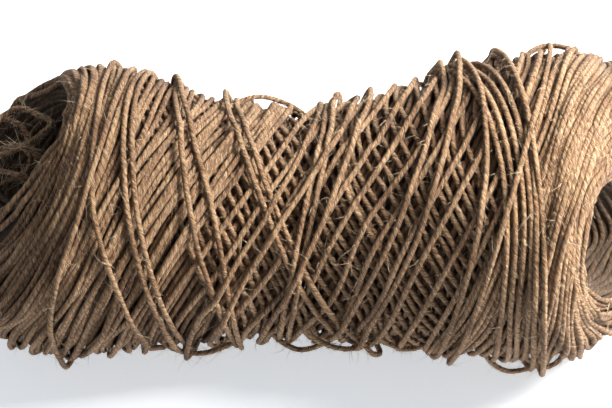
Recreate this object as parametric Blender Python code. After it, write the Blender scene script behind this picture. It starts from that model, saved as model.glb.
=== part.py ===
"""Skein of jute twine, wound crosswise on itself, lying on its side.

The skein is one closed solid. X runs along its winding axis, Y to the back and
Z up, with the floor at Z = 0. Its two bulging ends rest on small flat spots and
its narrower waist sags between them. Each end has a funnel-shaped hollow where
the winding core was drawn out. The main bundles of turns stand up as ridges:
they lean one way at the ends, and cross each other round the waist.

Round the axis, an angle of 0 points straight up and 90 degrees to the back.
"""

import math

import bpy
import numpy as np

MM = 0.001

# Body, in millimetres: the radius of the outer turns along the axis
LEFT_RADIUS = 42.0
WAIST_RADIUS = 34.0
RIGHT_RADIUS = 45.0
LEFT_BULGE_X = -66.0
WAIST_X = -4.0
RIGHT_BULGE_X = 68.0
FLAT_HALF_WIDTH = 9.0
WAIST_CLEARANCE = 0.4

# Where the skin starts to round over towards the rim of each end, and how full the
# rounding is: 1 is a plain quarter of an ellipse, and less is squarer
LEFT_SHOULDER = 20.0
RIGHT_SHOULDER = 18.0
FULLNESS = 0.78

# Hollow ends: mean x of the rim, its slant, the angle at which the slant brings
# the rim nearest the waist, the rim's centre (back, up from the body's axis), its
# radius, the throat's radius and the x of the hollow's bottom
HOLLOWS = {
    "left": dict(
        rim_x=-85.0, slant=20.0, turned=11.0, back=9.0, up=13.0, rim=22.5, throat=14.0, bottom=-42.0
    ),
    "right": dict(
        rim_x=92.0, slant=16.0, turned=-54.0, back=-6.0, up=-4.0, rim=21.5, throat=13.0, bottom=50.0
    ),
}

# Bundles of turns: how far a turn leans to each side of its mean place, the angle
# at which a turn reaches furthest right, the width of a bundle and its height
TURN_LEAN = 25.0
LEAN_TURNED = 56.0
BUNDLE_WIDTH = 11.5
BUNDLE_HEIGHT = 2.4
CROSSING_HALF_LENGTH = 40.0

# Fineness of the skin
SEGMENTS = 72
BODY_RINGS = 50
ROUNDING_RINGS = 7
HOLLOW_RINGS = 9

COLOUR = (0.36, 0.235, 0.125, 1.0)


def smoothstep(edge0, edge1, value):
    """3 t^2 - 2 t^3, with t the share of the way from edge0 to edge1."""
    share = np.clip((value - edge0) / (edge1 - edge0), 0.0, 1.0)
    return share * share * (3.0 - 2.0 * share)


def body_radius(x):
    """Radius of the outer turns: it swells from the waist to a bulge near each end."""
    left = smoothstep(WAIST_X, LEFT_BULGE_X, x)
    right = smoothstep(WAIST_X, RIGHT_BULGE_X, x)
    return WAIST_RADIUS + (LEFT_RADIUS - WAIST_RADIUS) * left + (RIGHT_RADIUS - WAIST_RADIUS) * right


def axis_height(x):
    """Height of the body's axis: each bulge is cut by the floor to a flat spot of the
    stated width, and the waist clears the floor by WAIST_CLEARANCE."""
    left = math.sqrt(LEFT_RADIUS**2 - FLAT_HALF_WIDTH**2)
    right = math.sqrt(RIGHT_RADIUS**2 - FLAT_HALF_WIDTH**2)
    waist = WAIST_RADIUS + WAIST_CLEARANCE
    to_left = smoothstep(WAIST_X, LEFT_BULGE_X, x)
    to_right = smoothstep(WAIST_X, RIGHT_BULGE_X, x)
    return waist + (left - waist) * to_left + (right - waist) * to_right


def rim_x(hollow, angle):
    """x of the rim at each angle: the rim lies in a slanted plane."""
    inward = -math.copysign(1.0, hollow["rim_x"])
    return hollow["rim_x"] + inward * hollow["slant"] * np.cos(angle - math.radians(hollow["turned"]))


def bundles(x, angle):
    """Height of the bundles of turns over the skin, from -1 in a groove to +1 on a ridge.

    A turn lies at x - TURN_LEAN * cos(angle - LEAN_TURNED) = constant, and its
    mirror twin crosses it where the waist's winding went the other way.
    """
    swing = TURN_LEAN * np.cos(angle - math.radians(LEAN_TURNED))
    crossing = 1.0 - smoothstep(0.6, 1.3, np.abs(x - WAIST_X) / CROSSING_HALF_LENGTH)
    total = np.zeros_like(swing)
    for side, share in ((1.0, 1.0 - 0.45 * crossing), (-1.0, 0.55 * crossing)):
        place = x - side * swing
        uneven = place + 1.6 * np.sin(place / 11.0) + 0.9 * np.sin(place / 4.7 + side)
        total = total + share * (2.0 * np.abs(np.cos(math.pi * uneven / BUNDLE_WIDTH)) - 1.0)
    return total


def ring_points(x, centre_y, centre_z, radius, angle):
    """A ring of points (x, centre_y + radius sin a, centre_z + radius cos a)."""
    return np.stack([x, centre_y + radius * np.sin(angle), centre_z + radius * np.cos(angle)], axis=1)


def rounding(hollow, shoulder_x, angle):
    """Rings from the shoulder to the rim: a full quarter turn that carries radius,
    centre and x from the body's values to the rim's."""
    radius = float(body_radius(np.array(shoulder_x)))
    height = float(axis_height(np.array(shoulder_x)))
    rings = []
    for step in range(1, ROUNDING_RINGS + 1):
        turn = 0.5 * math.pi * step / ROUNDING_RINGS
        run = math.sin(turn) ** FULLNESS
        drop = 1.0 - max(math.cos(turn), 0.0) ** FULLNESS
        start = shoulder_x_at(hollow, shoulder_x, angle)
        x = start + (rim_x(hollow, angle) - start) * run
        r = radius + (hollow["rim"] - radius) * drop
        relief = 0.5 * BUNDLE_HEIGHT * bundles(x, angle) * (1.0 - drop * drop)
        rings.append(ring_points(x, hollow["back"] * drop, height + hollow["up"] * drop, r + relief, angle))
    return rings


def shoulder_x_at(hollow, shoulder_x, angle):
    """x at which the skin leaves the body: it follows a little of the rim's slant."""
    return shoulder_x + 0.55 * (rim_x(hollow, angle) - hollow["rim_x"])


def hollow_rings(hollow, shoulder_x, angle):
    """Rings from the rim down the hollow: the wall turns over the rim, narrows to the
    throat and closes in a round bottom."""
    height = float(axis_height(np.array(shoulder_x)))
    centre_y = hollow["back"]
    centre_z = height + hollow["up"]
    rings = []
    for step in range(1, HOLLOW_RINGS + 1):
        share = step / HOLLOW_RINGS
        turn = 0.5 * math.pi * share
        edge = rim_x(hollow, angle)
        x = edge + (hollow["bottom"] - edge) * (1.0 - math.cos(turn))
        wall = hollow["throat"] + (hollow["rim"] - hollow["throat"]) * (1.0 - math.sin(turn)) ** 1.5
        close = math.sqrt(max(0.0, 1.0 - share**6))
        ripple = 0.35 * np.cos(9.0 * angle + 3.0 * share)
        rings.append(ring_points(x, centre_y, centre_z, wall * max(close, 0.25) + ripple * close, angle))
    return rings


def skein_rings(angle):
    """All rings from the bottom of the left hollow, over the body, to the bottom of the
    right hollow, in millimetres."""
    left_shoulder = HOLLOWS["left"]["rim_x"] + LEFT_SHOULDER
    right_shoulder = HOLLOWS["right"]["rim_x"] - RIGHT_SHOULDER
    start = shoulder_x_at(HOLLOWS["left"], left_shoulder, angle)
    end = shoulder_x_at(HOLLOWS["right"], right_shoulder, angle)
    body = []
    for step in range(BODY_RINGS):
        share = step / (BODY_RINGS - 1)
        x = start + (end - start) * share
        mean_x = left_shoulder + (right_shoulder - left_shoulder) * share
        radius = body_radius(x)
        edge = min(1.0, 4.0 * share, 4.0 * (1.0 - share))
        radius = radius * edge + float(body_radius(np.array(mean_x))) * (1.0 - edge)
        height = axis_height(x) * edge + float(axis_height(np.array(mean_x))) * (1.0 - edge)
        radius = radius + 0.5 * BUNDLE_HEIGHT * bundles(x, angle)
        body.append(ring_points(x, 0.0, height, radius, angle))
    left = hollow_rings(HOLLOWS["left"], left_shoulder, angle)[::-1]
    left += rounding(HOLLOWS["left"], left_shoulder, angle)[::-1]
    right = rounding(HOLLOWS["right"], right_shoulder, angle)
    right += hollow_rings(HOLLOWS["right"], right_shoulder, angle)
    return left + body + right


def skein_mesh(name):
    """Joins the rings into quads, closes both ends on a middle point, cuts the skin
    off flat at the floor and centres the whole over the origin."""
    angle = np.linspace(0.0, 2.0 * math.pi, SEGMENTS, endpoint=False)
    rings = np.array(skein_rings(angle))
    rings[:, :, 2] = np.maximum(rings[:, :, 2], 0.0)
    caps = np.stack([rings[0].mean(axis=0), rings[-1].mean(axis=0)])
    caps[0, 0] += 0.8
    caps[1, 0] -= 0.8
    points = np.concatenate([rings.reshape(-1, 3), caps])
    low = points.min(axis=0)
    high = points.max(axis=0)
    points = points - np.array([(low[0] + high[0]) / 2.0, (low[1] + high[1]) / 2.0, 0.0])

    count = len(rings)
    faces = []
    for ring in range(count - 1):
        for seg in range(SEGMENTS):
            after = (seg + 1) % SEGMENTS
            a = ring * SEGMENTS + seg
            b = ring * SEGMENTS + after
            faces.append((a, b, b + SEGMENTS, a + SEGMENTS))
    first_cap = count * SEGMENTS
    last = (count - 1) * SEGMENTS
    for seg in range(SEGMENTS):
        after = (seg + 1) % SEGMENTS
        faces.append((first_cap, after, seg))
        faces.append((first_cap + 1, last + seg, last + after))
    mesh = bpy.data.meshes.new(name)
    mesh.from_pydata((points * MM).tolist(), [], faces)
    mesh.update()
    return mesh


def outward(mesh):
    """True if the faces look outward: the signed volume under them is positive."""
    mesh.calc_loop_triangles()
    corners = np.empty(len(mesh.loop_triangles) * 3, np.int32)
    mesh.loop_triangles.foreach_get("vertices", corners)
    points = np.empty(len(mesh.vertices) * 3)
    mesh.vertices.foreach_get("co", points)
    triangles = points.reshape(-1, 3)[corners.reshape(-1, 3)]
    return float(np.linalg.det(triangles).sum()) > 0.0


def jute():
    """Plain brown plant fibre, dull and slightly warm."""
    material = bpy.data.materials.new("jute")
    material.use_nodes = True
    shader = material.node_tree.nodes["Principled BSDF"]
    shader.inputs["Base Color"].default_value = COLOUR
    shader.inputs["Roughness"].default_value = 0.9
    return material


def main():
    for obj in list(bpy.data.objects):
        bpy.data.objects.remove(obj, do_unlink=True)
    mesh = skein_mesh("skein")
    if not outward(mesh):
        mesh.flip_normals()
    mesh.materials.append(jute())
    skein = bpy.data.objects.new("skein", mesh)
    bpy.context.scene.collection.objects.link(skein)


main()
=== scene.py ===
# %% [markdown]
# # A skein of jute twine
# One long two-ply twine is wound crosswise on itself until it makes a fat spindle with two
# bulging ends, a narrower sagging waist and a hollow at each end. The notebook winds it the
# same way: it starts from a bare form, lays one turn after another on what is already there,
# and turns each path into a twisted strand.

# %% Frame
import math

import bpy
import numpy as np
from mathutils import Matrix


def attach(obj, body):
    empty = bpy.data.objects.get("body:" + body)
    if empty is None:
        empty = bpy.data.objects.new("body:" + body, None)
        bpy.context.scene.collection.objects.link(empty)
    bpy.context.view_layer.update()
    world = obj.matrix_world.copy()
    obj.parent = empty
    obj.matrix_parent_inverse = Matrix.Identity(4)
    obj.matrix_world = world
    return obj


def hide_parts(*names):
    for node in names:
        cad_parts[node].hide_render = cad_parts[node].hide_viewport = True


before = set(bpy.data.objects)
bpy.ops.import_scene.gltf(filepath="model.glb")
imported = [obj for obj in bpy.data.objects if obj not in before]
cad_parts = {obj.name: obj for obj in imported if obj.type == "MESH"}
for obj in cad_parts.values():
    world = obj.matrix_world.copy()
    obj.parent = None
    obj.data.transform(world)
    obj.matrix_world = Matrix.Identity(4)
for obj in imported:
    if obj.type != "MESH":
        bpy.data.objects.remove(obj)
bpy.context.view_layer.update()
rng = np.random.default_rng(7)

# %% [markdown]
# ## Sizes
# Lengths are in millimetres. The twine is nearly 2 mm thick with its fuzz and its two plies make a full turn in
# 4.9 mm. Where two turns cross they press into each other, so they lie a little closer than
# one thickness.

# %% Sizes
MM = 0.001
TWINE = 1.7
PRESSED = 1.46
LAY = 4.9
VIEW_ELEVATION = 56.0
VIEW_TURN = VIEW_ELEVATION - 90.0

COLUMNS = 480
ROW = 0.5
BODY_HALF = 70.0
SIDE_LENGTH = 74.0

LEFT_RADIUS, WAIST_RADIUS, RIGHT_RADIUS = 42.0, 34.0, 45.0
LEFT_BULGE_X, WAIST_X, RIGHT_BULGE_X = -66.0, -4.0, 68.0
FLAT_HALF_WIDTH, WAIST_CLEARANCE = 9.0, 0.4
FULLNESS = 0.78
CENTRE_X = 1.5
ENDS = {
    "left": dict(rim_x=-85.0, slant=20.0, turned=11.0, back=9.0, up=13.0, rim=22.5,
                 throat=14.0, bottom=-42.0, shoulder=-65.0),
    "right": dict(rim_x=92.0, slant=16.0, turned=-54.0, back=-6.0, up=-4.0, rim=21.5,
                  throat=13.0, bottom=50.0, shoulder=74.0),
}
ANGLE = np.linspace(0.0, 2.0 * math.pi, COLUMNS, endpoint=False)

# %% [markdown]
# ## The bare form
# The form is a surface over two numbers: how far along the profile a point is, and its angle
# round the axis, with 0 straight up and 90 degrees to the back. The profile runs from the
# bottom of the left hollow over the rim, the body and the other rim to the bottom of the
# right hollow. Only the angle-dependent slant of the rims keeps it from being a plain lathe
# shape.


# %% Form
def smoothstep(edge0, edge1, value):
    """3 t^2 - 2 t^3, with t the share of the way from edge0 to edge1."""
    share = np.clip((value - edge0) / (edge1 - edge0), 0.0, 1.0)
    return share * share * (3.0 - 2.0 * share)


def swell(x, left, waist, right):
    """waist + (left - waist) s_l + (right - waist) s_r, with s the smoothsteps to each bulge."""
    to_left = smoothstep(WAIST_X, LEFT_BULGE_X, x)
    to_right = smoothstep(WAIST_X, RIGHT_BULGE_X, x)
    return waist + (left - waist) * to_left + (right - waist) * to_right


def body_radius(x):
    """Radius of the outer turns along the axis."""
    return swell(x, LEFT_RADIUS, WAIST_RADIUS, RIGHT_RADIUS)


def axis_height(x):
    """sqrt(R^2 - w^2) at the bulges, so the floor cuts a flat of half width w there."""
    left = math.sqrt(LEFT_RADIUS**2 - FLAT_HALF_WIDTH**2)
    right = math.sqrt(RIGHT_RADIUS**2 - FLAT_HALF_WIDTH**2)
    return swell(x, left, WAIST_RADIUS + WAIST_CLEARANCE, right)


def rim_x(end):
    """x of the rim at each column: rim_x + slant cos(angle - turned), towards the waist."""
    inward = -math.copysign(1.0, end["rim_x"])
    return end["rim_x"] + inward * end["slant"] * np.cos(ANGLE - math.radians(end["turned"]))


def shoulder_x(end):
    """x where the body ends at each column: it follows 0.55 of the rim's slant."""
    return end["shoulder"] + 0.55 * (rim_x(end) - end["rim_x"])


def ring(x, back, up, radius):
    """(x, back + r sin a, up + r cos a) for all columns."""
    return np.stack(np.broadcast_arrays(x, back + radius * np.sin(ANGLE), up + radius * np.cos(ANGLE)), -1)


def rounding_rings(end, t):
    """A full quarter turn from the shoulder (t = 0) to the rim (t = 1)."""
    turn = 0.5 * math.pi * t[:, None]
    run = np.sin(turn) ** FULLNESS
    drop = 1.0 - np.clip(np.cos(turn), 0.0, 1.0) ** FULLNESS
    start = shoulder_x(end)
    radius = float(body_radius(np.array(end["shoulder"])))
    height = float(axis_height(np.array(end["shoulder"])))
    x = start + (rim_x(end) - start) * run
    return ring(x, end["back"] * drop, height + end["up"] * drop, radius + (end["rim"] - radius) * drop)


def hollow_rings(end, t):
    """The hollow's wall: over the rim, down to the throat, closed in a round bottom."""
    turn = 0.5 * math.pi * t[:, None]
    edge = rim_x(end)
    x = edge + (end["bottom"] - edge) * (1.0 - np.cos(turn))
    wall = end["throat"] + (end["rim"] - end["throat"]) * (1.0 - np.sin(turn)) ** 1.5
    close = np.maximum(np.sqrt(1.0 - np.clip(t[:, None], 0, 1) ** 6), 0.12)
    height = float(axis_height(np.array(end["shoulder"])))
    return ring(x, end["back"], height + end["up"], wall * close)


def side_rings(end, count):
    """count rings from the shoulder to the hollow's bottom at even steps of mean length."""
    t = np.linspace(0.0, 1.0, 240)
    fine = np.concatenate([rounding_rings(end, t), hollow_rings(end, t[1:])])
    step = np.linalg.norm(np.diff(fine, axis=0), axis=2).mean(axis=1)
    length = np.concatenate([[0.0], np.cumsum(step)])
    place = np.interp(np.linspace(0.0, length[-1], count + 1)[1:], length, np.arange(len(fine)))
    low = np.minimum(place.astype(int), len(fine) - 2)
    share = (place - low)[:, None, None]
    return fine[low] * (1.0 - share) + fine[low + 1] * share, length[-1]


def body_rings(count):
    """count rings from the left shoulder to the right one, evenly spaced in each column."""
    share = np.linspace(0.0, 1.0, count)[:, None]
    start, end = shoulder_x(ENDS["left"]), shoulder_x(ENDS["right"])
    x = start + (end - start) * share
    mean_x = ENDS["left"]["shoulder"] + (ENDS["right"]["shoulder"] - ENDS["left"]["shoulder"]) * share
    keep = np.minimum(1.0, np.minimum(4.0 * share, 4.0 * (1.0 - share)))
    radius = body_radius(x) * keep + body_radius(mean_x) * (1.0 - keep)
    height = axis_height(x) * keep + axis_height(mean_x) * (1.0 - keep)
    return ring(x, 0.0, height, radius)


side_count = int(SIDE_LENGTH / ROW)
left_side, left_length = side_rings(ENDS["left"], side_count)
right_side, right_length = side_rings(ENDS["right"], side_count)
FORM = np.concatenate([left_side[::-1], body_rings(int(2 * BODY_HALF / ROW) + 1), right_side])
FORM[:, :, 0] -= CENTRE_X
ROWS = len(FORM)
print("form:", FORM.shape, "side lengths, mm:", round(left_length, 1), round(right_length, 1))

# %% [markdown]
# The winding needs to know, at each point of the form, which way is out and how long one
# step is along and across the profile.

# %% Directions on the form
along = np.gradient(FORM, axis=0)
across = (np.roll(FORM, -1, axis=1) - np.roll(FORM, 1, axis=1)) / 2.0
OUT = np.cross(along, across)
OUT /= np.linalg.norm(OUT, axis=2, keepdims=True) + 1e-9
middle = ROWS // 2
if OUT[middle, 0, 2] < 0.0:
    OUT = -OUT
STEP_ALONG = np.linalg.norm(along, axis=2)
STEP_ACROSS = np.linalg.norm(across, axis=2)
print("mean steps, mm:", round(float(STEP_ALONG.mean()), 2), round(float(STEP_ACROSS.mean()), 2))


def sample(grid, rows):
    """grid at a fractional row in every column: g[i] (1 - f) + g[i + 1] f."""
    low = np.clip(rows.astype(int), 0, ROWS - 2)
    share = np.clip(rows - low, 0.0, 1.0)
    column = np.arange(COLUMNS)
    share = share if grid.ndim == 2 else share[:, None]
    return grid[low, column] * (1.0 - share) + grid[low + 1, column] * share


def row_of(u):
    """Row of a place u, in mm along the profile from the waist."""
    return np.clip((u + BODY_HALF + SIDE_LENGTH) / ROW, 1.0, ROWS - 3.0)


def place_of_x(x):
    """u of a turn that is given by its x, column by column."""
    start, end = shoulder_x(ENDS["left"]), shoulder_x(ENDS["right"])
    return (x - start) / (end - start) * 2.0 * BODY_HALF - BODY_HALF


# %% [markdown]
# ## Laying a turn
# A height map says how high the middle of a new turn has to stay over the form. Twine under
# tension touches what is below it at the high places and spans the low ones. Once a turn is
# laid, it raises the map beside it: a later turn whose middle passes at a distance s from it
# has to lie sqrt(d^2 - s^2) higher, with d the pressed thickness.

# %% Laying turns
support = np.full((ROWS, COLUMNS), TWINE / 2.0)


def taut(height, rounds=14):
    """The map's heights under a turn, bridged: h = max(map, mean of h over near columns)."""
    lifted = height.copy()
    for _ in range(rounds):
        near = sum(np.roll(lifted, shift) for shift in range(-5, 6)) / 11.0
        lifted = np.maximum(height, near)
    return lifted


def lay(rows, extra=0.0):
    """Lays one turn at the given rows and raises the map beside it. Returns its heights."""
    height = taut(sample(support, rows)) + extra
    slope = (np.roll(rows, -1) - np.roll(rows, 1)) / 2.0
    slope[0], slope[-1] = slope[1], slope[-2]
    step_u, step_c = sample(STEP_ALONG, rows), sample(STEP_ACROSS, rows)
    straight = 1.0 / np.hypot(1.0, slope * step_u / np.maximum(step_c, 0.05))
    low = rows.astype(int)
    column = np.arange(COLUMNS)
    pressed = PRESSED * np.clip(step_u / ROW, 0.35, 1.0)
    for shift in range(-7, 9):
        cell = np.clip(low + shift, 0, ROWS - 1)
        distance = np.abs(low + shift - rows) * step_u * straight
        raised = height + np.sqrt(np.clip(pressed**2 - distance**2, 0.0, None))
        raised = np.where(distance < pressed, raised, 0.0)
        support[cell, column] = np.maximum(support[cell, column], raised)
    return height


# %% [markdown]
# ## The winding plan
# The guide that laid the twine swung to and fro while the spindle turned, so each turn is a
# leaning ring: u = u0 + lean cos(angle - turned). Towards the rims the lean fades, because
# there the turns follow the edge of the hollow. Each family is one unbroken run of twine.
# The wander is a slow wobble that neighbours share, plus a little of their own.

# %% Winding plan
FAMILIES = [
    # name, first u, last u, turns, lean sign, wander, fine
    ("under_back", -84.0, 84.0, 58, -1.35, 1.0, False),
    ("under_fore", 88.0, -88.0, 64, 1.0, 0.9, False),
    ("left_hollow", -140.0, -94.0, 27, 0.9, 1.1, False),
    ("right_hollow", 140.0, 94.0, 27, 0.9, 0.7, False),
    ("waist_back", 66.0, -50.0, 30, -1.45, 1.6, True),
    ("waist_fore", -40.0, 58.0, 14, 0.95, 1.8, True),
    ("left_end", -33.0, -104.0, 40, 1.0, 1.2, True),
    ("right_end", 52.0, 106.0, 31, 1.0, 1.1, True),
]


def lean_at(u0):
    """19 mm over the body, fading to 3 mm at the rims."""
    return 19.0 * (1.0 - 0.84 * smoothstep(48.0, 102.0, np.abs(u0)))


def turned_at(u0):
    """The angle at which a turn reaches furthest right: 77 degrees at the left end, 33 at the right."""
    return np.radians(55.0 - 22.0 * np.clip(u0 / BODY_HALF, -1.0, 1.0))


def wander(count, size, seed):
    """Sum of a_k cos(k angle + p_k + q_k n): slow changes q_k shared by neighbours, plus
    quick ones of each turn's own. n runs on smoothly from turn to turn."""
    local = np.random.default_rng(seed)
    turn = np.arange(count)[:, None] + ANGLE / (2.0 * math.pi)
    total = np.zeros((count, COLUMNS))
    for k, share in enumerate((0.9, 0.75, 0.55, 0.45, 0.35, 0.3), start=1):
        phase, slow, own, quick = local.uniform(0.0, 2.0 * math.pi, 4)
        total += share * np.cos(k * ANGLE + phase + 0.12 * slow * turn)
        total += 0.45 * share * np.cos(k * ANGLE + own + (1.0 + quick) * turn)
    return size * 0.75 * total


def family_places(first, last, count, sign, size, seed):
    """u of each turn and column of a family."""
    turn = np.arange(count)[:, None] + ANGLE / (2.0 * math.pi)
    u0 = first + (last - first) * turn / count
    swing = sign * lean_at(u0) * np.cos(ANGLE - turned_at(u0))
    return u0 + swing + wander(count, size, seed)


paths = []
for seed, (name, first, last, count, sign, size, fine) in enumerate(FAMILIES):
    places = family_places(first, last, count, sign, size, seed + 11)
    heights = [lay(row_of(places[turn])) for turn in range(count)]
    paths.append((name, row_of(places), np.array(heights), fine))
print("turns laid:", sum(len(p[1]) for p in paths), "map, mm:", support.mean().round(2), support.max().round(2))

# %% [markdown]
# ## Loose turns
# Some turns have slipped and lie over the rest where chance left them. They are set from the
# photograph: x in millimetres at six angles seen from the camera, with -90 the lower edge, 0
# the middle and 90 the upper edge. A slack one stands off its bed at one angle.

# %% Loose turns
LOOSE = [
    # x at -90, -45, 0, 45, 90 and 180 degrees, slack in mm, at which angle
    (-33.0, -42.0, -50.0, -51.0, -46.0, -48.0, 1.5, -80.0),
    (-31.0, -39.5, -47.5, -49.0, -44.0, -45.0, 0.5, 0.0),
    (-19.0, -24.0, -33.0, -37.0, -38.0, -30.0, 1.0, 20.0),
    (-18.0, -21.0, -25.0, -34.0, -40.0, -35.0, 0.6, 60.0),
    (27.0, 5.5, -6.6, -18.0, -22.0, 0.0, 2.0, -85.0),
    (20.0, 2.0, -10.0, -21.0, -26.0, -4.0, 1.0, 84.0),
    (-40.0, -49.0, -59.5, -60.0, -55.0, -50.0, 0.8, -40.0),
    (-6.0, -4.0, 1.0, 7.7, 8.6, 2.0, 2.4, 92.0),
    (-8.5, -6.5, -1.5, 5.2, 6.5, 0.0, 0.6, 0.0),
    (-16.0, -9.0, 5.0, 16.0, 21.0, 5.0, 1.0, 30.0),
    (61.0, 58.0, 60.0, 54.6, 41.0, 45.0, 0.4, 0.0),
    (58.5, 56.0, 57.6, 52.0, 38.6, 43.0, 0.4, 10.0),
    (55.0, 53.6, 55.4, 49.5, 36.0, 41.0, 0.8, -90.0),
    (63.0, 61.5, 61.5, 57.0, 46.0, 48.0, 0.3, 0.0),
    (66.0, 63.0, 62.5, 60.5, 52.0, 52.0, 3.5, -88.0),
    (69.5, 66.0, 64.0, 60.0, 54.0, 56.0, 2.5, -84.0),
    (36.0, 41.0, 49.0, 50.5, 44.0, 40.0, 0.5, 86.0),
    (12.0, 20.0, 34.0, 43.0, 46.0, 30.0, 0.8, 88.0),
    (2.0, 12.0, 27.0, 38.0, 41.0, 22.0, 1.2, 80.0),
    (40.0, 46.0, 55.0, 66.0, 72.0, 60.0, 1.6, 88.0),
    (-70.0, -71.0, -62.0, -53.0, -49.0, -60.0, 1.4, -86.0),
    (-38.0, -30.0, -12.0, 2.0, 6.0, -14.0, 0.8, -86.0),
    (-30.0, -24.0, -8.0, 12.0, 17.0, -4.0, 1.0, 84.0),
]
KNOTS = np.radians(np.array([-90.0, -45.0, 0.0, 45.0, 90.0, 180.0]) + VIEW_TURN)


def between_knots(values):
    """Values at the six angles joined by lines, then smoothed over 40 degrees."""
    line = np.interp(ANGLE, KNOTS, values, period=2.0 * math.pi)
    spectrum = np.fft.rfft(line)
    order = np.arange(len(spectrum))
    return np.fft.irfft(spectrum * np.exp(-((order / 5.5) ** 2)), COLUMNS)


def stand_off(slack, degrees):
    """slack exp(-(d / 20 degrees)^2) at an angle d from the given one."""
    away = np.angle(np.exp(1j * (ANGLE - math.radians(degrees + VIEW_TURN))))
    return slack * np.exp(-((away / math.radians(20.0)) ** 2))


loose_rows, loose_heights = [], []
for number, (*values, slack, degrees) in enumerate(LOOSE):
    wobble = wander(1, 0.45, 100 + number)[0]
    wobble = wobble * np.sin(0.5 * ANGLE) ** 2
    rows = row_of(place_of_x(between_knots(values)) + wobble)
    loose_rows.append(rows)
    loose_heights.append(lay(rows, stand_off(slack, degrees)))
print("loose turns:", len(LOOSE))

# %% [markdown]
# ## Back to the true size
# The wound layers are thicker in some places than in others, but the outside of the skein
# has to match the form. So all heights are lowered by a smoothed copy of the map: the small
# bumps of single turns stay, and the overall shape is the form's.


# %% Envelope
def blurred(grid, rows, columns):
    """Three box filters each way, circular round the axis."""
    for _ in range(3):
        padded = np.pad(grid, ((rows + 1, rows), (0, 0)), mode="edge").cumsum(axis=0)
        grid = (padded[2 * rows + 1 :] - padded[: -2 * rows - 1]) / (2 * rows + 1)
        padded = np.pad(grid, ((0, 0), (columns + 1, columns)), mode="wrap").cumsum(axis=1)
        grid = (padded[:, 2 * columns + 1 :] - padded[:, : -2 * columns - 1]) / (2 * columns + 1)
    return grid


envelope = blurred(support, 14, 14) - PRESSED + 0.5 * TWINE - 0.35
print("envelope, mm:", envelope.min().round(2), envelope.max().round(2))


def on_form(rows, heights):
    """Point and outward direction: F + n (h - e), kept off the floor by half a thickness."""
    point = sample(FORM, rows) + sample(OUT, rows) * (heights - sample(envelope, rows))[:, None]
    point[:, 2] = np.maximum(point[:, 2], 0.5 * TWINE + 0.02)
    out = sample(OUT, rows)
    return point, out


# %% [markdown]
# ## From a path to a strand
# A strand has six sides. In the fine ones the corners stand out in turn, one corner further
# round at each ring, so two ridges climb the strand like its two plies. The rings are a
# sixth of the lay apart. Each strand carries two maps: one gives the length along the strand
# and the way round it, for the material, and the other lays it out in rows on a square.


# %% Strands
def resampled(point, out, spacing):
    """The path at even steps of its own length."""
    length = np.concatenate([[0.0], np.cumsum(np.linalg.norm(np.diff(point, axis=0), axis=1))])
    count = max(int(length[-1] / spacing), 4)
    at = np.linspace(0.0, length[-1], count + 1)
    point = np.stack([np.interp(at, length, point[:, k]) for k in range(3)], axis=1)
    out = np.stack([np.interp(at, length, out[:, k]) for k in range(3)], axis=1)
    return point, out, at


def eased(values, rounds=2):
    """A running mean of three that leaves the ends where they are."""
    for _ in range(rounds):
        values = values.copy()
        values[1:-1] = (values[:-2] + values[1:-1] + values[2:]) / 3.0
    return values


def strand(point, out, fine, thickness=TWINE, seed=0):
    """Vertices, triangles and maps of one strand, as arrays."""
    spacing = LAY / 6.0 if fine else LAY / 2.4
    point, out, at = resampled(eased(point), out, spacing)
    tangent = np.gradient(point, axis=0)
    tangent /= np.linalg.norm(tangent, axis=1, keepdims=True) + 1e-9
    side = np.cross(tangent, out)
    side /= np.linalg.norm(side, axis=1, keepdims=True) + 1e-9
    up = np.cross(side, tangent)
    count = len(point)
    ring_no, corner = np.arange(count)[:, None], np.arange(6)[None, :]
    turn = math.radians(60.0) * corner
    local = np.random.default_rng(seed)
    wave = np.cos(at / 17.0 + local.uniform(0, 6)) + np.cos(at / 6.3 + local.uniform(0, 6))
    radius = 0.5 * thickness * (1.0 + 0.035 * wave)[:, None] * np.ones((1, 6))
    if fine:
        radius = radius * (0.98 + 0.06 * np.cos(2.0 * (turn + math.radians(60.0) * ring_no)))
    radius[[0, -1]] *= 0.35
    verts = (
        point[:, None]
        + radius[:, :, None] * (np.cos(turn)[:, :, None] * up[:, None] + np.sin(turn)[:, :, None] * side[:, None])
    )
    base = (ring_no[:-1] * 6 + corner).ravel()
    left = (ring_no[:-1] * 6 + (corner - 1) % 6).ravel()
    tris = np.concatenate(
        [np.stack([left, base, left + 6], 1), np.stack([base, base + 6, left + 6], 1)], axis=1
    ).reshape(-1, 3)
    around1 = np.broadcast_to(np.where(corner == 0, 6, corner), (count - 1, 6)).ravel() / 6.0
    around0 = around1 - 1.0 / 6.0
    s0, s1 = np.repeat(at[:-1], 6), np.repeat(at[1:], 6)
    along_map = np.stack([s0, s0, s1, s0, s1, s1], 1).reshape(-1)
    around_map = np.stack([around0, around1, around0, around1, around1, around0], 1).reshape(-1)
    caps = np.array([[0, 1, 2], [0, 2, 3], [0, 3, 4], [0, 4, 5]])
    last = (count - 1) * 6
    tris = np.concatenate([tris, caps[:, ::-1], caps + last])
    cap_along = np.concatenate([np.full(12, at[0]), np.full(12, at[-1])])
    along_map = np.concatenate([along_map, cap_along])
    around_map = np.concatenate([around_map, np.tile([0.1, 0.2, 0.3], 8)])
    cells = np.concatenate([np.repeat(np.arange(count - 1), 36), np.full(12, 0), np.full(12, count - 2)])
    return verts.reshape(-1, 3), tris, along_map, around_map, cells, count - 1


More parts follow.
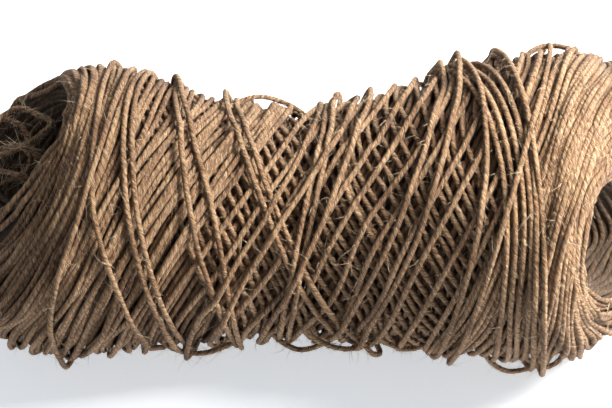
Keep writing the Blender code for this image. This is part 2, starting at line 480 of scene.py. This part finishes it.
def bake_map(cells, along_map, around_map, total):
    """Lays the run of rings out in rows: a square holds rows x per_row rings, each row one
    way round high."""
    per_row = int(math.ceil(math.sqrt(total * 8.5)))
    rows = int(math.ceil(total / per_row))
    first = np.concatenate([[0], np.cumsum(np.bincount(cells, minlength=total))])[cells]
    row, column = cells // per_row, cells % per_row
    low = np.full(total, np.inf)
    np.minimum.at(low, cells, along_map)
    high = np.full(total, -np.inf)
    np.maximum.at(high, cells, along_map)
    share = (along_map - low[cells]) / np.maximum(high[cells] - low[cells], 1e-9)
    u = (column + np.clip(share, 0.0, 1.0)) / per_row
    v = (row + 0.06 + 0.88 * around_map) / rows
    return np.stack([u, v], 1), first


def joined(name, parts, material):
    """One mesh object from several strands."""
    verts, tris, alongs, arounds, cells = [], [], [], [], []
    vert_count, ring_count, run = 0, 0, 0.0
    for part_verts, part_tris, part_along, part_around, part_cells, rings in parts:
        verts.append(part_verts)
        tris.append(part_tris + vert_count)
        alongs.append(part_along + run)
        arounds.append(part_around)
        cells.append(part_cells + ring_count)
        vert_count += len(part_verts)
        ring_count += rings
        run += float(part_along.max()) + 137.0
    verts, tris = np.concatenate(verts) * MM, np.concatenate(tris)
    alongs, arounds, cells = map(np.concatenate, (alongs, arounds, cells))
    mesh = mesh_from(name, verts, tris)
    layout, _ = bake_map(cells, alongs, arounds, ring_count)
    add_map(mesh, "OFBake", layout)
    add_map(mesh, "strand", np.stack([alongs / LAY, arounds], 1))
    return placed(mesh, material)


def mesh_from(name, verts, tris):
    """A smooth-shaded triangle mesh from two arrays."""
    mesh = bpy.data.meshes.new(name)
    mesh.vertices.add(len(verts))
    mesh.vertices.foreach_set("co", verts.astype(np.float32).ravel())
    mesh.loops.add(3 * len(tris))
    mesh.loops.foreach_set("vertex_index", tris.astype(np.int32).ravel())
    mesh.polygons.add(len(tris))
    mesh.polygons.foreach_set("loop_start", np.arange(0, 3 * len(tris), 3, dtype=np.int32))
    mesh.polygons.foreach_set("use_smooth", np.ones(len(tris), bool))
    mesh.update(calc_edges=True)
    return mesh


def add_map(mesh, name, values):
    layer = mesh.uv_layers.new(name=name)
    layer.uv.foreach_set("vector", values.astype(np.float32).ravel())


def placed(mesh, material):
    """An object at the origin that rides on the skein's one body."""
    mesh.materials.append(material)
    piece = bpy.data.objects.new(mesh.name, mesh)
    bpy.context.scene.collection.objects.link(piece)
    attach(piece, "root")
    return piece


# %% [markdown]
# ## Stray lengths
# A few lengths have sprung free: a hairpin and some arcs inside the left hollow, and small
# loops that hang off the outline. They are set in the camera's plane, in millimetres right
# of and above the axis, with their depth towards the camera at start, middle and end.

# %% Stray lengths
STRAYS = [
    # depths, then right and up of each knot
    ((2.0, 12.0, 2.0), (-96.0, 22.0), (-86.7, 28.5), (-81.8, 29.8), (-74.5, 26.5), (-72.8, 25.4), (-75.0, 23.5),
     (-80.5, 19.5), (-88.0, 16.5), (-96.0, 16.0)),
    ((4.0, 14.0, 6.0), (-96.0, 15.5), (-87.5, 18.3), (-83.0, 19.0), (-78.5, 17.5), (-74.0, 13.0), (-73.0, 9.0)),
    ((6.0, 13.0, 8.0), (-95.0, 12.5), (-87.5, 11.6), (-82.0, 10.4), (-79.0, 8.0), (-78.0, 3.5)),
    ((-6.0, 2.0, -8.0), (-97.0, 24.0), (-90.0, 27.0), (-83.0, 25.0), (-80.5, 19.0), (-82.0, 12.0), (-90.0, 8.0)),
    ((8.0, -3.0, 6.0), (51.0, -38.5), (53.5, -43.5), (59.0, -46.6), (64.5, -46.0), (69.0, -42.8), (71.0, -38.0)),
    ((8.0, 2.0, 8.0), (62.0, -38.0), (64.5, -43.0), (68.5, -45.2), (72.5, -44.0), (75.0, -40.0), (75.5, -36.0)),
    ((8.0, 0.0, 8.0), (-13.0, -31.0), (-8.0, -37.0), (-1.5, -40.2), (6.0, -38.0), (11.0, -33.5), (14.0, -30.0)),
    ((6.0, 0.0, 6.0), (-44.0, -36.0), (-38.0, -40.0), (-30.0, -41.2), (-22.0, -38.6), (-16.0, -35.0), (-12.0, -30.0)),
    ((6.0, -4.0, 4.0), (6.0, 26.0), (7.6, 31.0), (9.0, 34.3), (10.0, 33.2), (9.6, 29.6), (11.0, 26.0)),
    ((14.0, 4.0, 14.0), (33.0, 29.0), (37.0, 38.5), (43.0, 42.6), (49.0, 41.6), (54.0, 37.0), (57.0, 28.0)),
    ((16.0, 3.0, 16.0), (58.0, 31.0), (62.0, 43.0), (68.0, 47.6), (75.0, 47.4), (80.5, 42.5), (83.0, 31.0)),
    ((12.0, 6.0, 12.0), (13.0, -27.0), (20.0, -35.0), (27.0, -39.4), (34.0, -38.6), (40.0, -33.5), (43.0, -27.0)),
    ((12.0, 6.0, 12.0), (-4.0, -27.0), (2.0, -36.0), (11.0, -39.6), (19.0, -37.6), (24.0, -32.0), (27.0, -26.0)),
    ((6.0, -2.0, 6.0), (-24.0, 27.0), (-19.0, 32.0), (-12.0, 33.4), (-4.0, 30.6), (2.0, 25.6), (5.0, 21.0)),
]


def stray(depths, knots):
    """A Catmull-Rom curve through the knots, brought into the skein's axes."""
    flat = np.array(knots)
    flat = np.concatenate([2 * flat[:1] - flat[1:2], flat, 2 * flat[-1:] - flat[-2:-1]])
    place = np.linspace(0.0, len(knots) - 1.001, 40 * len(knots))
    low, t = place.astype(int), (place % 1.0)[:, None]
    a, b, c, d = flat[low], flat[low + 1], flat[low + 2], flat[low + 3]
    curve = 0.5 * (2 * b + (c - a) * t + (2 * a - 5 * b + 4 * c - d) * t**2 + (3 * b - a - 3 * c + d) * t**3)
    depth = np.interp(place, (0.0, 0.5 * (len(knots) - 1), len(knots) - 1.0), depths)
    tilt = math.radians(VIEW_ELEVATION)
    to_eye, up = np.array([0.0, -math.cos(tilt), math.sin(tilt)]), np.array([0.0, math.sin(tilt), math.cos(tilt)])
    point = curve[:, 1:] * up + depth[:, None] * to_eye
    point[:, 0] += curve[:, 0] - CENTRE_X
    point[:, 2] += 41.0
    point[:, 2] = np.maximum(point[:, 2], 0.5 * TWINE + 0.02)
    return point, np.tile(to_eye, (len(point), 1))


# %% [markdown]
# ## Node helper
# Shader sums read as sums when a socket knows how to add and multiply. `S` wraps a socket,
# and `node` makes a node from its type, its settings and its inputs.


# %% Node helper
class S:
    """A shader value: +, -, * and / make Math nodes."""

    def __init__(self, tree, socket):
        self.tree, self.socket = tree, socket

    def math(self, operation, *others, swap=False):
        values = [self, *others][::-1] if swap else [self, *others]
        return node(self.tree, "ShaderNodeMath", dict(operation=operation), *values)

    def __add__(self, other):
        return self.math("ADD", other)

    __radd__ = __add__

    def __mul__(self, other):
        return self.math("MULTIPLY", other)

    __rmul__ = __mul__

    def __sub__(self, other):
        return self.math("SUBTRACT", other)

    def __rsub__(self, other):
        return self.math("SUBTRACT", other, swap=True)

    def __truediv__(self, other):
        return self.math("DIVIDE", other)


def node(tree, kind, settings, *inputs, output=0, **named):
    """Makes a node, its settings first and then its sockets, and wraps one output."""
    made = tree.nodes.new(kind)
    for key, value in settings.items():
        setattr(made, key, value)
    for key, value in [*enumerate(inputs), *named.items()]:
        key = key.replace("_", " ") if isinstance(key, str) else key
        if isinstance(value, S):
            tree.links.new(value.socket, made.inputs[key])
        elif value is not None:
            made.inputs[key].default_value = value
    return S(tree, made.outputs[output])


def mixed(tree, share, low, high):
    """low (1 - share) + high share, for colours."""
    made = tree.nodes.new("ShaderNodeMix")
    made.data_type = "RGBA"
    for key, value in ((0, share), (6, low), (7, high)):
        if isinstance(value, S):
            tree.links.new(value.socket, made.inputs[key])
        else:
            made.inputs[key].default_value = value
    return S(tree, made.outputs[2])


# %% [markdown]
# ## Jute
# Jute is a bast fibre: flat tan strips with darker bits of bark, spun so loosely that single
# fibres show. The plies climb the strand at phase p = s / lay + round; the groove between
# them is where |cos| of that phase is small: deep in the bump, and darkened in the colour as painted shade. Fine
# fibre streaks run along the plies. Slow changes along the strand make some lengths paler and some redder.


# %% Jute material
def jute(name, dark, tan, pale, bump):
    """Dull twisted plant fibre; bump is the height of a ply in metres."""
    material = bpy.data.materials.new(name)
    material.use_nodes = True
    tree = material.node_tree
    shader = tree.nodes["Principled BSDF"]
    where = node(tree, "ShaderNodeUVMap", dict(uv_map="strand"))
    parts = tree.nodes.new("ShaderNodeSeparateXYZ")
    tree.links.new(where.socket, parts.inputs[0])
    s, around = S(tree, parts.outputs[0]), S(tree, parts.outputs[1])
    phase = 2.0 * (s + around)
    wave = (phase * math.pi).math("COSINE").math("ABSOLUTE")
    groove_shade = (1.0 - wave).math("POWER", 1.8)
    streak_at = node(tree, "ShaderNodeCombineXYZ", {}, s * 0.9, (s + around) * 9.0, around * 0.4)
    streak = node(tree, "ShaderNodeTexNoise", {}, Vector=streak_at, Scale=1.6, Detail=3.0, Roughness=0.62)
    fine_at = node(tree, "ShaderNodeCombineXYZ", {}, s * 2.5, (s + around) * 26.0, 0.0)
    fibre = node(tree, "ShaderNodeTexNoise", {}, Vector=fine_at, Scale=1.3, Detail=2.0, Roughness=0.6)
    slow_at = node(tree, "ShaderNodeCombineXYZ", {}, s * 0.23, 3.0, 1.0)
    slow = node(tree, "ShaderNodeTexNoise", {}, Vector=slow_at, Scale=1.0, Detail=2.0)
    tone = 1.4 * streak + 1.2 * fibre + 0.8 * slow - 1.22
    low = node(tree, "ShaderNodeMapRange", {}, tone, 0.26, 0.5, 0.0, 1.0)
    high = node(tree, "ShaderNodeMapRange", {}, tone, 0.5, 0.82, 0.0, 1.0)
    colour = mixed(tree, high, mixed(tree, low, dark, tan), pale)
    fleck = node(tree, "ShaderNodeMapRange", {}, streak * slow, 0.33, 0.42, 0.0, 0.55)
    colour = mixed(tree, fleck, colour, (0.33, 0.15, 0.055, 1.0))
    # Painted shade: the groove between the plies is darkened towards a third of the dark tone.
    shade = tuple(0.30 * v for v in dark[:3]) + (1.0,)
    colour = mixed(tree, groove_shade * 0.5, colour, shade)
    tree.links.new(colour.socket, shader.inputs["Base Color"])
    height = 0.7 * wave.math("POWER", 0.8) + 1.2 * streak + 1.1 * fibre
    relief = node(tree, "ShaderNodeBump", {}, Strength=0.9, Distance=bump, Height=height)
    tree.links.new(relief.socket, shader.inputs["Normal"])
    shader.inputs["Roughness"].default_value = 0.88
    shader.inputs["Specular IOR Level"].default_value = 0.22
    shader.inputs["Sheen Weight"].default_value = 0.12
    shader.inputs["Sheen Roughness"].default_value = 0.5
    return material


JUTE = jute("jute_twine", (0.085, 0.042, 0.019, 1), (0.345, 0.184, 0.086, 1), (0.78, 0.56, 0.34, 1), 0.0005)
# A darker copy of the twine for the turns under the outer layer: painted shade.
UNDER_SHADED = jute("jute_under_shaded", (0.085, 0.043, 0.02, 1), (0.26, 0.138, 0.064, 1), (0.47, 0.31, 0.17, 1), 0.0004)
# The darkest copy, for the turns in the hollows and for the heart skin: painted shade.
INNER_SHADED = jute("jute_inner_shaded", (0.03, 0.016, 0.008, 1), (0.10, 0.056, 0.028, 1), (0.2, 0.13, 0.07, 1), 0.0004)
print("materials:", [m.name for m in bpy.data.materials])

# %% [markdown]
# ## Winding it
# Every family becomes one unbroken strand and every loose turn a closed one of its own. The
# under layers need fewer rings, because only gaps show them.

# %% Make the strands
def kind_of(name, fine):
    """The outer turns keep the twine's colour; those below get a darker copy and those in the hollows the darkest, as
    painted shade.
    """
    return JUTE if fine else INNER_SHADED if "hollow" in name else UNDER_SHADED


pieces = []
for number, (name, rows, heights, fine) in enumerate(paths):
    walk = [on_form(rows[turn], heights[turn]) for turn in range(len(rows))]
    point = np.concatenate([p for p, _ in walk])
    out = np.concatenate([n for _, n in walk])
    made = joined("twine_" + name, [strand(point, out, fine, seed=number)], kind_of(name, fine))
    pieces.append(made)
    print(made.name, len(made.data.polygons), "triangles")

loose_parts = []
for number, (rows, heights) in enumerate(zip(loose_rows, loose_heights)):
    point, out = on_form(rows, heights)
    start = int(COLUMNS * (180.0 + VIEW_TURN) / 360.0)
    point, out = np.roll(point, -start, axis=0), np.roll(out, -start, axis=0)
    point, out = np.concatenate([point, point[:3]]), np.concatenate([out, out[:3]])
    loose_parts.append(strand(point, out, True, seed=50 + number))
stray_parts = []
for number, (depth, *places) in enumerate(STRAYS):
    point, out = stray(depth, places)
    stray_parts.append(strand(point, out, True, seed=90 + number))
strays = joined("twine_strays", stray_parts, JUTE)
pieces.append(strays)
loose = joined("twine_loose", loose_parts, JUTE)
pieces.append(loose)
print(loose.name, len(loose.data.polygons), "triangles")

# %% [markdown]
# ## The heart of the skein
# Between the lowest turns the skein is dark. A plain closed skin just under them stands for
# the turns further in, so that no light passes through; it wears the darkest copy of the twine as painted shade.


# %% Heart
def heart(every_row=4, every_column=6):
    """F + n (0.35 - e) on a coarse grid, closed at both ends on a middle point."""
    rows = np.arange(2, ROWS - 2, every_row)
    skin = FORM + OUT * (0.35 - envelope)[:, :, None]
    grid = skin[rows][:, ::every_column]
    grid[:, :, 2] = np.maximum(grid[:, :, 2], 0.4)
    n, m = grid.shape[:2]
    verts = np.concatenate([grid.reshape(-1, 3), grid[0].mean(0)[None], grid[-1].mean(0)[None]])
    i, j = np.meshgrid(np.arange(n - 1), np.arange(m), indexing="ij")
    a, b = (i * m + j).ravel(), (i * m + (j + 1) % m).ravel()
    wall = np.concatenate([np.stack([a, b, b + m], 1), np.stack([a, b + m, a + m], 1)])
    k = np.arange(m)
    first = np.stack([np.full(m, n * m), (k + 1) % m, k], 1)
    last = np.stack([np.full(m, n * m + 1), (n - 1) * m + k, (n - 1) * m + (k + 1) % m], 1)
    tris = np.concatenate([wall, first, last])
    if np.linalg.det(verts[tris] - verts.mean(0)).sum() < 0.0:
        tris = tris[:, ::-1]
    mesh = mesh_from("twine_heart", verts * MM, tris)
    row, column = np.divmod(np.minimum(tris, n * m - 1), m)
    column = np.where((column.max(1) - column.min(1) > m // 2)[:, None] & (column < m // 2), column + m, column)
    place = np.stack([column / m, row / n], 2).reshape(-1, 2)
    add_map(mesh, "OFBake", place * (m / (m + 1.0), 1.0))
    add_map(mesh, "strand", place * (40.0, n * every_row * ROW / TWINE))
    return placed(mesh, INNER_SHADED)


pieces.append(heart())
print(pieces[-1].name, len(pieces[-1].data.polygons), "triangles")

# %% [markdown]
# ## Stray fibres
# Jute sheds: fine pale fibres stand off the twine everywhere, and show most along the
# outline and over dark gaps. Each is a thin three-sided hair that leaves the strand at a low
# angle and bends over.


# %% Fuzz
def fuzz(name, sources, count, longest):
    """count hairs of length 0.8 mm to longest, rooted on random vertices of the sources."""
    roots, ups = [], []
    for piece in sources:
        mesh = piece.data
        place, up = np.empty(3 * len(mesh.vertices)), np.empty(3 * len(mesh.vertices))
        mesh.vertices.foreach_get("co", place)
        mesh.vertex_normals.foreach_get("vector", up)
        pick = rng.integers(0, len(mesh.vertices), count // len(sources))
        roots.append(place.reshape(-1, 3)[pick] / MM)
        ups.append(up.reshape(-1, 3)[pick])
    root, up = np.concatenate(roots), np.concatenate(ups)
    n = len(root)
    sideways = np.cross(up, rng.normal(size=(n, 3)))
    sideways /= np.linalg.norm(sideways, axis=1, keepdims=True) + 1e-9
    length = 0.8 + (longest - 0.8) * rng.random(n) ** 2.6
    lift = rng.uniform(0.25, 1.1, n)[:, None]
    bend = np.cross(sideways, up) * rng.normal(0, 0.7, (n, 1)) - up * rng.uniform(0.0, 0.7, (n, 1))
    t = np.linspace(0.0, 1.0, 4)[None, :, None]
    head = (sideways + lift * up) / np.linalg.norm(sideways + lift * up, axis=1, keepdims=True)
    path = root[:, None] + length[:, None, None] * (head[:, None] * t + 0.55 * bend[:, None] * t * t)
    path[:, :, 2] = np.maximum(path[:, :, 2], 0.1)
    thick = rng.uniform(0.055, 0.095, n)[:, None, None] * (1.0 - 0.8 * t)
    turn = np.radians([0.0, 120.0, 240.0])
    other = np.cross(head, up)
    other /= np.linalg.norm(other, axis=1, keepdims=True) + 1e-9
    third = np.cross(other, head)
    spoke = np.cos(turn)[None, :, None] * other[:, None] + np.sin(turn)[None, :, None] * third[:, None]
    verts = path[:, :, None] + thick[:, :, None] * spoke[:, None]
    base = np.arange(n)[:, None, None] * 12 + np.arange(3)[None, :, None] * 3
    j = np.arange(3)[None, None, :]
    a, b = base + j, base + (j + 1) % 3
    quads = np.stack([a, b, b + 3, a, b + 3, a + 3], -1).reshape(-1, 3)
    tip = np.arange(n)[:, None] * 12 + np.array([9, 10, 11])
    foot = np.arange(n)[:, None] * 12 + np.array([2, 1, 0])
    tris = np.concatenate([quads, tip, foot])
    mesh = mesh_from(name, verts.reshape(-1, 3) * MM, tris)
    wide = int(math.ceil(math.sqrt(n)))
    hair, corner = np.divmod(tris.ravel(), 12)
    inside = np.stack([0.15 + 0.7 * (corner // 3) / 3.0, 0.15 + 0.7 * (corner % 3) / 2.0], 1)
    add_map(mesh, "OFBake", (np.stack([hair % wide, hair // wide], 1) + inside) / wide)
    add_map(mesh, "strand", np.stack([hair * 0.37 + corner // 3, corner % 3 / 3.0], 1))
    return placed(mesh, HAIR)


def hair_material():
    """Pale translucent-looking fibre: a little paler or browner from hair to hair."""
    material = bpy.data.materials.new("jute_fibre")
    material.use_nodes = True
    tree = material.node_tree
    shader = tree.nodes["Principled BSDF"]
    where = node(tree, "ShaderNodeUVMap", dict(uv_map="strand"))
    patchy = node(tree, "ShaderNodeTexNoise", {}, Vector=where, Scale=0.8, Detail=1.0)
    share = node(tree, "ShaderNodeMapRange", {}, patchy, 0.35, 0.65, 0.0, 1.0)
    colour = mixed(tree, share, (0.42, 0.28, 0.15, 1), (0.86, 0.72, 0.52, 1))
    tree.links.new(colour.socket, shader.inputs["Base Color"])
    shader.inputs["Roughness"].default_value = 0.6
    return material


HAIR = hair_material()
fuzzy = [piece for piece in pieces if piece.data.materials[0] == JUTE]
pieces.append(fuzz("twine_fuzz", fuzzy, 9000, 7.5))
print(pieces[-1].name, len(pieces[-1].data.polygons), "triangles")

# %% [markdown]
# ## Floor, light and camera
# The skein lies on a white sheet. A large soft lamp stands behind it to the right, so the
# right end is bright and the left end and the waist's near side fall into shade.

# %% Stage
def floor_sheet():
    """A wide pale plane at z = 0."""
    mesh = bpy.data.meshes.new("floor")
    half = 3.0
    mesh.from_pydata([(-half, -half, 0), (half, -half, 0), (half, half, 0), (-half, half, 0)], [], [(0, 1, 2, 3)])
    material = bpy.data.materials.new("floor_paper")
    material.use_nodes = True
    shader = material.node_tree.nodes["Principled BSDF"]
    shader.inputs["Base Color"].default_value = (0.86, 0.875, 0.90, 1)
    shader.inputs["Roughness"].default_value = 0.7
    shader.inputs["Emission Color"].default_value = (0.90, 0.95, 1.0, 1)
    shader.inputs["Emission Strength"].default_value = 0.57
    mesh.materials.append(material)
    sheet = bpy.data.objects.new("floor", mesh)
    bpy.context.scene.collection.objects.link(sheet)


def soft_lamp(name, place, aim, size, watts, colour):
    """A square area lamp that faces the aim."""
    lamp = bpy.data.lights.new(name, "AREA")
    lamp.shape, lamp.size, lamp.energy, lamp.color = "SQUARE", size, watts, colour
    made = bpy.data.objects.new(name, lamp)
    made.location = place
    toward = np.array(aim) - np.array(place)
    flat = math.hypot(toward[0], toward[1])
    made.rotation_euler = (math.atan2(flat, -toward[2]), 0.0, math.atan2(-toward[0], toward[1]))
    bpy.context.scene.collection.objects.link(made)


floor_sheet()
soft_lamp("key", (0.29, 0.05, 0.32), (0.06, 0.0, 0.03), 0.2, 5.0, (1.0, 0.985, 0.96))
soft_lamp("back", (0.45, 0.65, 0.50), (0.05, 0.12, 0.0), 0.9, 4.5, (1.0, 1.0, 1.0))
world = bpy.data.worlds.new("studio")
world.use_nodes = True
world.node_tree.nodes["Background"].inputs[0].default_value = (0.90, 0.94, 1.0, 1.0)
world.node_tree.nodes["Background"].inputs[1].default_value = 0.3
bpy.context.scene.world = world
bpy.context.scene.view_settings.view_transform = "Standard"

DISTANCE, WIDTH = 0.68, 0.1775
camera = bpy.data.cameras.new("camera")
camera.sensor_width = 36.0
camera.lens = 36.0 / (2.0 * math.tan(0.5 * WIDTH / DISTANCE))
camera.clip_start, camera.clip_end = 0.05, 20.0
eye = bpy.data.objects.new("camera", camera)
tilt = math.radians(VIEW_ELEVATION)
target = np.array([-CENTRE_X * MM, 0.0, 0.041]) + 0.0022 * np.array([0.0, math.sin(tilt), math.cos(tilt)])
eye.location = target + DISTANCE * np.array([0.0, -math.cos(tilt), math.sin(tilt)])
eye.rotation_euler = (math.radians(90.0) - tilt, 0.0, 0.0)
bpy.context.scene.collection.objects.link(eye)
bpy.context.scene.camera = eye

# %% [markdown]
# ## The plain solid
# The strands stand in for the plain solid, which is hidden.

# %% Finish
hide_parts("skein")
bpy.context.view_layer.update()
